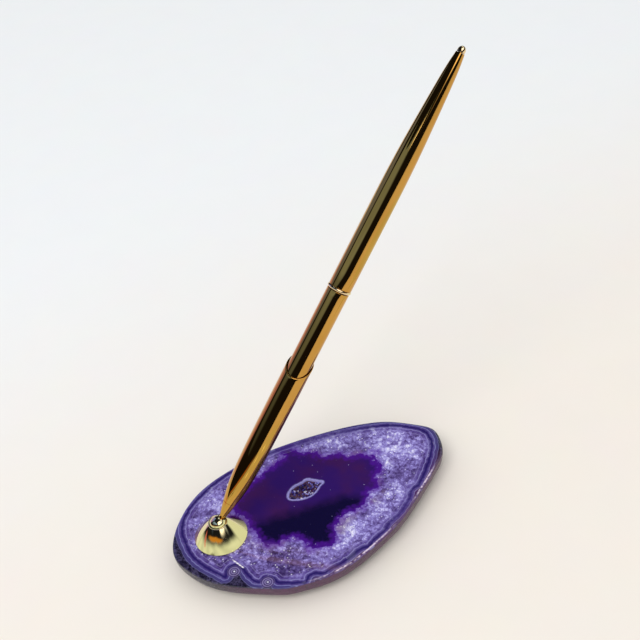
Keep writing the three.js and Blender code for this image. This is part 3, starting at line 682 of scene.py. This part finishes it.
def hexagonal_point(base, turn, radius, length, first):
    """Vertices and faces of one six-sided crystal, whose first vertex has the number first."""
    verts = [base + turn @ Vector((radius * x, radius * y, height))
             for height in (0, CRYSTAL_SHOULDER * length) for x, y in HEXAGON]
    verts.append(base + turn @ Vector((0, 0, length)))
    faces = []
    for k in range(6):
        n = (k + 1) % 6
        faces.append((first + k, first + n, first + 6 + n, first + 6 + k))
        faces.append((first + 6 + k, first + 6 + n, first + 12))
    faces.append(tuple(range(first + 5, first - 1, -1)))
    return verts, faces


def pocket_crystals():
    """Hexagonal points that line the pocket."""
    chance = random.Random(CRYSTAL_SEED)
    outline = closed_curve(POCKET, 200)
    verts, faces, tones = [], [], []
    while len(tones) < CRYSTAL_COUNT:
        spot = np.array([chance.uniform(24.5, 37.0), chance.uniform(0.5, 7.5)])
        inside = distance_to(outline, spot[None])[0]
        if inside < 0.15:
            continue
        depth = POCKET_DEPTH * min(1.0, inside / 2.4) ** 0.6
        radius = chance.uniform(0.20, 0.46)
        length = radius * chance.uniform(1.3, 2.2)
        base = Vector((*spot, SLAB_TOP - depth - 0.25))
        lean = Vector([chance.uniform(-0.45, 0.45) for _ in range(3)])
        towards = Vector((*(POCKET_CENTRE - spot) * 0.09, 1)) + lean
        spin = Matrix.Rotation(chance.uniform(0, 1), 3, "Z")
        turn = towards.to_track_quat("Z", "Y").to_matrix() @ spin
        more_verts, more_faces = hexagonal_point(base, turn, radius, min(length, depth + 0.1), len(verts))
        verts += more_verts
        faces += more_faces
        tones.append(chance.uniform(0, 1) ** 1.5)
    for v in verts:
        v.z = min(v.z, SLAB_TOP)
    made = place("pocket_crystals", verts, faces, smooth=False)
    layer = made.data.attributes.new("tone", "FLOAT", "POINT")
    layer.data.foreach_set("value", np.repeat(tones, CRYSTAL_POINTS).astype(np.float32))
    return made


stands_for(agate_slice(), "agate_slice", "stand", AGATE)
crystals = pocket_crystals()
crystals.data.materials.append(CRYSTAL)
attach(crystals, "stand")

FOOT_HEIGHT = SLAB_BOTTOM
FOOT_BASE_R = 3.6
FOOT_TOP_R = 4.6
FOOT_EDGE = 0.12
FOOT_SIDES = 72


def foot(number):
    """A clear stick-on bumper, widest where it meets the slice."""
    low, high = (Vector(corner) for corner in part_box(f"bumper_foot_{number}"))
    centre = (low + high) / 2 / MM - Vector((AXIS_X, AXIS_Y, 0)) / MM
    return lathe(f"foot_{number}", [
        (0, 0), (FOOT_BASE_R, 0), *arc(FOOT_BASE_R, 0.5, 0.5, -80, 0, 8),
        (4.35, 1.3), (4.6, 2.0), (4.72, 2.5),
        *arc(FOOT_TOP_R, FOOT_HEIGHT - FOOT_EDGE, FOOT_EDGE, 0, 90, 4), (0, FOOT_HEIGHT),
    ], FOOT_SIDES, Matrix.Translation((centre.x, centre.y, 0)))


for number in range(1, 5):
    stands_for(foot(number), f"bumper_foot_{number}", "stand", RUBBER)


# ---------------------------------------------------------------- the holder

BALL_R = 2.9
BALL_MOUTH_R = 1.33
BALL_BORE_R = 1.08
BALL_BORE_FLOOR = -1.9
SOCKET_R = 2.95
SOCKET_RISE = 1.2
DOME_R = 8.4
DOME_EDGE = 0.15
LIP_R = 3.1
LIP_TOP = 6.6
PLATE_R = 6.55
PLATE_TOP = 1.25
DOME_SIDES = 192
BALL_SIDES = 128


def bezier(start, pull, end, steps):
    """Points on a curve from start to end that bends towards pull."""
    t = np.linspace(0, 1, steps + 1)[:, None]
    points = (1 - t) ** 2 * np.array(start) + 2 * t * (1 - t) * np.array(pull) + t ** 2 * np.array(end)
    return [tuple(p) for p in points]


def holder_dome():
    """The dome with its rolled lip, the ball's socket and a recess for the base plate."""
    mouth = math.degrees(math.asin(SOCKET_RISE / SOCKET_R))
    mouth_r = SOCKET_R * math.cos(math.radians(mouth))
    half = (LIP_R - mouth_r) / 2
    return lathe("dome", [
        (PLATE_R, 0), (DOME_R - DOME_EDGE, 0), *arc(DOME_R - DOME_EDGE, DOME_EDGE, DOME_EDGE, -90, 0, 6),
        *bezier((DOME_R, 0.45), (5.2, 4.2), (LIP_R, LIP_TOP - 0.35), 48),
        *arc(LIP_R - half, LIP_TOP - half, half, 0, 165, 14),
        *arc(0, BALL_HEIGHT, SOCKET_R, mouth, 0, 8),
        (SOCKET_R, PLATE_TOP), (PLATE_R, PLATE_TOP), (PLATE_R, 0),
    ], DOME_SIDES, HOLDER)


def swivel_ball():
    """The ball, with the blind bore in which the pen's nose stands."""
    mouth = math.degrees(math.acos(BALL_MOUTH_R / BALL_R))
    mouth_height = BALL_R * math.sin(math.radians(mouth))
    return lathe("ball", [
        *arc(0, 0, BALL_R, -90, mouth, 48), (BALL_BORE_R, mouth_height - 0.25),
        (BALL_BORE_R, BALL_BORE_FLOOR), (0, BALL_BORE_FLOOR),
    ], BALL_SIDES, PEN)


stands_for(holder_dome(), "holder_dome", "stand", PALE_GOLD)
stands_for(swivel_ball(), "swivel_ball", "ball", PALE_GOLD)


# ---------------------------------------------------------------- the pen

LOWER_R = 4.03
SLANT_START, MOUTH_HEIGHT, MOUTH_RISE = 46.8, 57.9, 3.6
MOUTH_LOW_ANGLE = math.radians(-146)
NOSE_SEAM = 8.35
LOWER = [
    (3.1, 0.95), (5.7, 1.6), (NOSE_SEAM, 2.15), (11.3, 2.72), (14.2, 3.15), (17.5, 3.46),
    (22, 3.7), (30, 3.89), (42, 3.99), (SLANT_START, LOWER_R),
]
BARREL_FOOT_BORE_R = 1.8
BARREL_BORE_R = 3.3
SLEEVE_SEAT_R = 3.57
SLEEVE_SEAT = 41.7
SPIGOT_R = 0.92
SPIGOT_BORE_R = 0.6
PEN_SIDES, NOSE_SIDES, CAP_SIDES = 192, 144, 128
SLEEVE_R = 3.52
SLEEVE_BORE_R = 3.05
SLEEVE_FOOT, SLEEVE_TOP = 42, 83.8
RING_R = 3.3
RING_BORE_R = 2.49
RING_FOOT, RING_TOP = 83.95, 84.95
TAIL_START, TAIL_END, PEN_END = 85.0, 161.2, 163.3
TAIL_R = 3.59
TAIL_BORE_R = 3.12
TAIL_TAPER = 112
TAIL = [
    (TAIL_TAPER, TAIL_R), (120, 3.56), (129, 3.37), (138, 3.0),
    (146, 2.6), (153, 2.2), (158, 1.78), (TAIL_END, 1.36),
]


def along_curve(outline, low, high, steps):
    """Points (radius, height) on the smooth curve through outline, from low to high."""
    heights = np.linspace(low, high, steps + 1)
    return list(zip(cubic(outline, heights), heights))


def nose_cone():
    flank = along_curve(LOWER, 3.1, NOSE_SEAM - 0.07, 36)
    return lathe("nose", [
        (SPIGOT_BORE_R, 0.8), (0.80, 0.8), (SPIGOT_R, 1.0), (SPIGOT_R, 3.0),
        *flank, (flank[-1][0] - 0.07, NOSE_SEAM),
        (1.75, NOSE_SEAM), (1.75, 12.0), (1.25, 12.0), (1.25, 7.5),
        (SPIGOT_BORE_R, 4.2), (SPIGOT_BORE_R, 0.8),
    ], NOSE_SIDES, PEN)


def slant(x, y, z):
    """Leans what is above the slant's start, so that the barrel's mouth is cut at an angle."""
    towards_low = (x * math.cos(MOUTH_LOW_ANGLE) + y * math.sin(MOUTH_LOW_ANGLE)) / LOWER_R
    share = min(1, max(0, (z - SLANT_START) / (MOUTH_HEIGHT - SLANT_START)))
    return x, y, z - MOUTH_RISE * towards_low * share


def lower_barrel():
    foot, lip = NOSE_SEAM + 0.05, 0.14
    flank = along_curve(LOWER, foot, SLANT_START, 90)
    plain = [(LOWER_R, h) for h in np.linspace(SLANT_START, MOUTH_HEIGHT - lip, 14)[1:-1]]
    return lathe("barrel", [
        (BARREL_FOOT_BORE_R, foot), (flank[0][0] - 0.05, foot), *flank, *plain,
        *arc(LOWER_R - lip, MOUTH_HEIGHT - lip, lip, 0, 180, 10),
        (LOWER_R - 2 * lip, 51.5), (SLEEVE_SEAT_R, 50.5), (SLEEVE_SEAT_R, SLEEVE_SEAT),
        (BARREL_BORE_R, SLEEVE_SEAT), (BARREL_BORE_R, 24), (2.9, 18.5),
        (BARREL_FOOT_BORE_R, 13.4), (BARREL_FOOT_BORE_R, foot),
    ], PEN_SIDES, PEN, slant)


def upper_sleeve():
    plain = [(SLEEVE_R, h) for h in np.linspace(50, 82, 9)]
    return lathe("sleeve", [
        (SLEEVE_BORE_R, SLEEVE_FOOT), (3.4, SLEEVE_FOOT), (SLEEVE_R, SLEEVE_FOOT + 0.12), *plain,
        *arc(SLEEVE_R - 0.12, SLEEVE_TOP - 0.12, 0.12, 0, 90, 5),
        (SLEEVE_BORE_R, SLEEVE_TOP), (SLEEVE_BORE_R, SLEEVE_FOOT),
    ], PEN_SIDES, PEN)


def centre_ring():
    bead = arc(RING_R, (RING_FOOT + RING_TOP) / 2, 0.5, -88, 88, 24)
    return lathe("ring", [
        (RING_BORE_R, RING_FOOT), (RING_R, RING_FOOT), *bead, (RING_R, RING_TOP),
        (RING_BORE_R, RING_TOP), (RING_BORE_R, RING_FOOT),
    ], PEN_SIDES, PEN)


def tail_barrel():
    edge = 0.1
    plain = [(TAIL_R, h) for h in np.linspace(90, 110, 6)]
    return lathe("tail", [
        (TAIL_BORE_R, TAIL_START), (TAIL_R - edge, TAIL_START),
        *arc(TAIL_R - edge, TAIL_START + edge, edge, -80, 0, 4),
        *plain, *along_curve(TAIL, TAIL_TAPER, TAIL_END, 70),
        (0.8, TAIL_END), (0.8, 156.5), (1.2, 155), (2.1, 142), (2.85, 129), (TAIL_BORE_R, 117),
        (TAIL_BORE_R, TAIL_START),
    ], PEN_SIDES, PEN)


def tail_cap():
    base, side, radius = TAIL_END + 0.08, 0.5, 1.25
    rise = PEN_END - base - side
    crown = [(radius * math.cos(a), base + side + rise * math.sin(a))
             for a in np.linspace(0, math.pi / 2, 17)]
    return lathe("cap", [
        (0, 157.2), (0.75, 157.2), (0.75, base), (radius - 0.1, base), (radius, base + 0.12),
        *crown[:-1], (0, PEN_END),
    ], CAP_SIDES, PEN)


stands_for(nose_cone(), "nose_cone", "pen", GOLD)
stands_for(lower_barrel(), "lower_barrel", "pen", GOLD)
stands_for(upper_sleeve(), "upper_sleeve", "pen", GOLD)
stands_for(centre_ring(), "centre_ring", "tail", HIGHLIGHT_GOLD)
stands_for(tail_barrel(), "tail_barrel", "tail", GOLD)
stands_for(tail_cap(), "tail_cap", "tail", HIGHLIGHT_GOLD)

# Inner pieces that keep their CAD meshes and only get a new material.
CARRIED_OVER = [
    (BRASS, "base_plate_stud"), (BRASS, "base_washer"), (BRASS, "refill_tip"), (BRASS, "mechanism_housing"),
    (BRASS, "drive_bushing"), (BRASS, "twist_cam"), (STEEL, "base_nut"), (STEEL, "wave_spring"),
    (STEEL, "refill_tube"), (STEEL, "writing_ball"), (NYLON, "ball_cup"), (NYLON, "refill_carrier"),
    (NYLON, "refill_plug"),
]
for shader, node in CARRIED_OVER:
    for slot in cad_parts[node].material_slots:
        slot.material = shader


# ---------------------------------------------------------------- camera

CAMERA_AT = Vector((-37.69, -260.20, 303.31 + SLAB_TOP))
FOCAL_LENGTH = 70.3
CAMERA_TURN, CAMERA_ELEVATION, CAMERA_ROLL = (math.radians(a) for a in (-17.5, 40.58, -9.86))

lens = bpy.data.cameras.new("camera")
lens.sensor_width = 36.0
lens.lens = FOCAL_LENGTH
lens.clip_start = 0.01
lens.clip_end = 50.0
camera = bpy.data.objects.new("camera", lens)
bpy.context.scene.collection.objects.link(camera)
camera.matrix_world = (
    Matrix.Translation(ROW @ CAMERA_AT)
    @ Matrix.Rotation(CAMERA_TURN, 4, "Z")
    @ Matrix.Rotation(math.pi / 2 - CAMERA_ELEVATION, 4, "X")
    @ Matrix.Rotation(CAMERA_ROLL, 4, "Z")
)
bpy.context.scene.camera = camera


# ---------------------------------------------------------------- floor, light and reflector cards

FLOOR_HALF = 4.0
SLICE_MIDDLE = (30, 10)
HOLDER_AXIS = (0, 0)
CARD_COLUMNS, CARD_ROWS = 60, 30


def floor():
    """Pale paper, warmer at the front."""
    s = Shader("paper_floor", Roughness=0.8, Specular_IOR_Level=0.1)
    at = s.node("TexCoord").outputs["Object"]
    across = s.node("SeparateXYZ", {"Vector": at}).outputs["Y"]
    tone = s.mix(s.step(across, -0.02, 0.22), (0.895, 0.830, 0.755), (0.880, 0.892, 0.900))
    fibre = s.mix(0.03, tone, s.node("TexNoise", {"Vector": at, "Scale": 60.0}).outputs["Color"])
    s.paint("Base Color", fibre)
    mesh = bpy.data.meshes.new("floor")
    corners = [(x * FLOOR_HALF, y * FLOOR_HALF, 0) for x, y in ((-1, -1), (1, -1), (1, 1), (-1, 1))]
    mesh.from_pydata(corners, [], [(0, 1, 2, 3)])
    made = bpy.data.objects.new("floor", mesh)
    mesh.materials.append(s.material)
    bpy.context.scene.collection.objects.link(made)


def card_glow(name):
    """A glow whose colour and cover come from the card's own tint."""
    lamp = Shader(name)
    tint = lamp.node("Attribute", attribute_name="tint").outputs
    clear = lamp.node("BsdfTransparent")
    glow = lamp.node("Emission", {"Color": tint["Color"], "Strength": 1.0})
    both = lamp.node("MixShader", {0: tint["Alpha"], 1: clear.outputs[0], 2: glow.outputs[0]})
    out = next(n for n in lamp.tree.nodes if n.type == "OUTPUT_MATERIAL")
    lamp.put(out.inputs["Surface"], both.outputs[0])
    return lamp.material


def card(name, turn, height, distance, tint, about=SLICE_MIDDLE):
    """A curved reflector card round a point, which only reflections show.

    turn is in degrees from the front, to the right. tint gives the colour at a turn and a height.
    """
    turns = np.linspace(*turn, CARD_COLUMNS + 1)
    spots = [(a, z) for z in np.linspace(*height, CARD_ROWS + 1) for a in turns]
    verts = []
    for a, z in spots:
        across, back = distance * math.sin(math.radians(a)), distance * math.cos(math.radians(a))
        verts.append((about[0] + across, about[1] - back, z))
    wide = CARD_COLUMNS + 1
    faces = [(k, k + 1, k + wide + 1, k + wide)
             for row in range(CARD_ROWS) for k in range(row * wide, row * wide + CARD_COLUMNS)]
    made = place(name, verts, faces)
    colours = np.array([(*tint(a, z), 1.0) for a, z in spots], np.float32)
    colours[:, 3] = np.clip(colours[:, :3].max(axis=1) / 0.9, 0.001, 1)
    colours[:, :3] /= colours[:, 3:]
    layer = made.data.attributes.new("tint", "FLOAT_COLOR", "POINT")
    layer.data.foreach_set("color", colours.ravel())
    made.data.materials.append(card_glow(name))
    made.visible_camera = made.visible_diffuse = made.visible_shadow = False
    made.visible_transmission = made.visible_volume_scatter = False


def between(value, low, high):
    """Rises smoothly from 0 at low to 1 at high."""
    share = min(1.0, max(0.0, (value - low) / (high - low)))
    return share * share * (3 - 2 * share)


def blot(across, up, core):
    """An oval spot: 1 within core, fading to 0 at 1. across and up count in half widths."""
    return between(math.hypot(across, up), 1.0, core)


CREAM = (0.88, 0.93, 0.74)
ORANGE = (0.66, 0.26, 0.03)
CORAL = (0.80, 0.16, 0.14)
# Bright spots on the cream card: turn and height.
SPARKLES = [(-2, 23), (12, 26), (30, 24)]


def left_sky(turn, z):
    """Blue light from the left that grows with height behind a slanting edge."""
    edge = float(np.interp(z, (160, 195, 240), (-82, -46, -34)))
    power = float(np.interp(z, (110, 160, 195, 232, 262), (0.15, 0.40, 0.60, 1.0, 0.85)))
    power *= between(turn, edge + 14, edge - 10) * between(turn, -114, -106)
    return 0.30 * power, 0.45 * power, 0.74 * power


def back_left(turn, z):
    """Mauve light low down and blue light higher up."""
    power = between(turn, -119, -130)
    low, high, share = (0.54, 0.31, 0.64), (0.20, 0.28, 0.66), between(z, 80, 104)
    return [power * (a + (b - a) * share) for a, b in zip(low, high)]


def low_cream(turn, z):
    """Pale paper round the holder, highest at the front, with an orange strip and a coral spot."""
    edge = float(np.interp(abs(turn + 8), (0, 38, 75, 122), (34, 32, 24, 11)))
    power = between(z, edge + 3.0, edge - 2.5) * (0.90 + 0.10 * math.sin(turn * 0.11 + z * 0.6))
    power *= 1 - 0.9 * blot((turn + 58) / 13, (z - edge + 7) / 3.0, 0.5)
    orange = blot((turn + 50) / 50, (z - edge - 4) / 2.6, 0.6)
    coral = blot((turn + 104) / 17, (z - 19.5) / 1.6, 0.6)
    for spot_turn, spot_z in SPARKLES:
        power += 2.0 * blot((turn - spot_turn) / 3.5, (z - spot_z) / 1.6, 0.3)
    power *= (1 - coral) * between(turn, 64, 52)
    return [power * c + orange * o + coral * r for c, o, r in zip(CREAM, ORANGE, CORAL)]


def right_cream(turn, z):
    """More of the pale paper, further off to the right."""
    power = 0.95 * between(turn, 50, 62) * between(z, 66, 50)
    return [power * c for c in CREAM]


def top_window(turn, z):
    power = between(turn, -20, -6) * between(turn, 78, 50) * between(z, 520, 600) * between(z, 2700, 2200)
    return 2.30 * power, 2.10 * power, 2.00 * power


def spark(turn, z):
    power = 3.0 * blot((turn + 37) / 5, (z - 620) / 38, 0.5)
    return power, power, power


def right_window(turn, z):
    power = between(turn, 30, 60) * between(z, 600, 700)
    return 0.85 * power, 0.88 * power, 0.92 * power


def key_light():
    """A large soft light from the left and above, which no reflection shows."""
    data = bpy.data.lights.new("key", "AREA")
    data.size = 0.9
    data.energy = 9.0
    data.color = (1.0, 0.99, 0.97)
    made = bpy.data.objects.new("key", data)
    at = Vector((-0.75, -0.55, 1.45))
    made.location = at
    made.rotation_mode = "QUATERNION"
    made.rotation_quaternion = (at - Vector((0, 0, 0.03))).to_track_quat("Z", "Y")
    made.visible_glossy = False
    bpy.context.scene.collection.objects.link(made)


def studio_air():
    """Soft white light from all round, which mirrors see as a dark room."""
    world = bpy.data.worlds.new("studio")
    bpy.context.scene.world = world
    world.use_nodes = True
    tree = world.node_tree
    tree.nodes.clear()
    path = tree.nodes.new("ShaderNodeLightPath")
    both = tree.nodes.new("ShaderNodeMixShader")
    out = tree.nodes.new("ShaderNodeOutputWorld")
    tree.links.new(path.outputs["Is Glossy Ray"], both.inputs[0])
    looks = [((0.97, 0.985, 1.0, 1), 0.84), ((0.012, 0.012, 0.014, 1), 1.0)]
    for number, (colour, strength) in enumerate(looks, 1):
        look = tree.nodes.new("ShaderNodeBackground")
        look.inputs["Color"].default_value = colour
        look.inputs["Strength"].default_value = strength
        tree.links.new(look.outputs[0], both.inputs[number])
    tree.links.new(both.outputs[0], out.inputs["Surface"])


floor()
studio_air()
key_light()
card("left_sky", (-118, -18), (110, 360), 220, left_sky)
card("back_left", (-170, -124), (0, 240), 190, back_left)
card("low_cream", (-140, 64), (8, 46), 42, low_cream, HOLDER_AXIS)
card("right_cream", (48, 138), (9, 70), 120, right_cream, HOLDER_AXIS)
card("top_window", (-24, 80), (500, 2720), 700, top_window)
card("spark", (-43, -31), (575, 665), 600, spark)
card("right_window", (28, 150), (560, 1600), 1000, right_window)

bpy.context.scene.view_settings.view_transform = "Standard"
